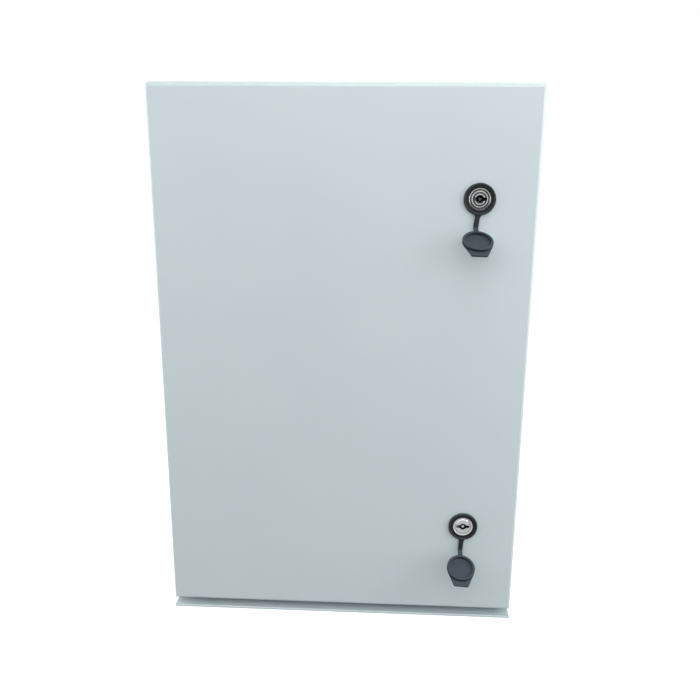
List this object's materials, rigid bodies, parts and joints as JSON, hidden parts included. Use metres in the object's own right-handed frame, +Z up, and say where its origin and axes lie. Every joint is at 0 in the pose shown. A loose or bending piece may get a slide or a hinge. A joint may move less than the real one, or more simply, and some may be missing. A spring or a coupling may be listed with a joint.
{
  "type": "electrical enclosure",
  "caption": "Wall-mounted sheet-steel electrical enclosure with a hinged door, quarter-turn locks under rubber dust caps, a mounting plate inside and a gland plate below.",
  "frame": {"origin": "middle of the wall-fixing holes, on the back face", "axes": "+X to the right seen from the front, +Y into the wall, +Z up"},
  "size_m": [0.4, 0.2417, 0.6],
  "materials": {
    "shell_paint": "fine-textured light grey powder coat, satin",
    "seal_foam": "matt foam",
    "hinge_casting": "satin plated casting",
    "galvanised_sheet": "galvanised sheet with faint spangle",
    "zinc_fixings": "bright zinc plate",
    "earth_brass": "plain turned brass",
    "lock_chrome": "polished plate",
    "cap_rubber": "matt moulded"
  },
  "bodies": {
    "cabinet": {"body_wrap": "shell_paint", "top_panel": "shell_paint", "bottom_panel": "shell_paint", "door_frame": "shell_paint", "hinge_bracket_upper": "hinge_casting", "hinge_bracket_lower": "hinge_casting", "hinge_pin_upper": "zinc_fixings", "hinge_pin_lower": "zinc_fixings", "hinge_screws": "zinc_fixings", "mounting_plate": "galvanised_sheet", "mounting_studs": "zinc_fixings", "plate_spacers": "zinc_fixings", "plate_washers": "zinc_fixings", "plate_nuts": "zinc_fixings", "gland_plate": "shell_paint", "gland_gasket": "seal_foam", "gland_studs": "zinc_fixings", "gland_nuts": "zinc_fixings", "earth_stud": "earth_brass", "earth_washer": "zinc_fixings", "earth_nut": "zinc_fixings"},
    "door": {"door_panel": "shell_paint", "door_gasket": "seal_foam", "hinge_leaf_upper": "hinge_casting", "hinge_leaf_lower": "hinge_casting", "door_earth_stud": "earth_brass", "door_earth_washer": "zinc_fixings", "door_earth_nut": "zinc_fixings", "upper_lock_housing": "lock_chrome", "upper_lock_nut": "zinc_fixings", "upper_cap_ring": "cap_rubber", "lower_lock_housing": "lock_chrome", "lower_lock_nut": "zinc_fixings", "lower_cap_ring": "cap_rubber"},
    "upper_lock": {"upper_lock_core": "lock_chrome", "upper_lock_cam": "zinc_fixings", "upper_cam_washer": "zinc_fixings", "upper_cam_screw": "zinc_fixings"},
    "upper_cap": {"upper_dust_cap": "cap_rubber"},
    "lower_lock": {"lower_lock_core": "lock_chrome", "lower_lock_cam": "zinc_fixings", "lower_cam_washer": "zinc_fixings", "lower_cam_screw": "zinc_fixings"},
    "lower_cap": {"lower_dust_cap": "cap_rubber"}
  },
  "joints": [
    {"name": "door_hinge", "type": "hinge", "parent": "cabinet", "child": "door", "pos_m": [-0.1945, -0.19, 0.0042], "axis": [0, 0, -1], "range_deg": [0, 120]},
    {"name": "upper_lock_turn", "type": "hinge", "parent": "door", "child": "upper_lock", "pos_m": [0.14, -0.2, 0.1869], "axis": [0, 1, 0], "range_deg": [0, 90]},
    {"name": "upper_cap_swing", "type": "hinge", "parent": "door", "child": "upper_cap", "pos_m": [0.13849, -0.2025, 0.16154], "axis": [-0.9982, 0, 0.0593], "range_deg": [0, 120], "stiffness_Nm_per_rad": 0.004, "springref_deg": 10.31},
    {"name": "lower_lock_turn", "type": "hinge", "parent": "door", "child": "lower_lock", "pos_m": [0.14, -0.2, -0.1822], "axis": [0, 1, 0], "range_deg": [0, 90]},
    {"name": "lower_cap_swing", "type": "hinge", "parent": "door", "child": "lower_cap", "pos_m": [0.13849, -0.2025, -0.20755], "axis": [-0.9982, 0, 0.0593], "range_deg": [0, 120], "stiffness_Nm_per_rad": 0.004, "springref_deg": 10.31}
  ]
}
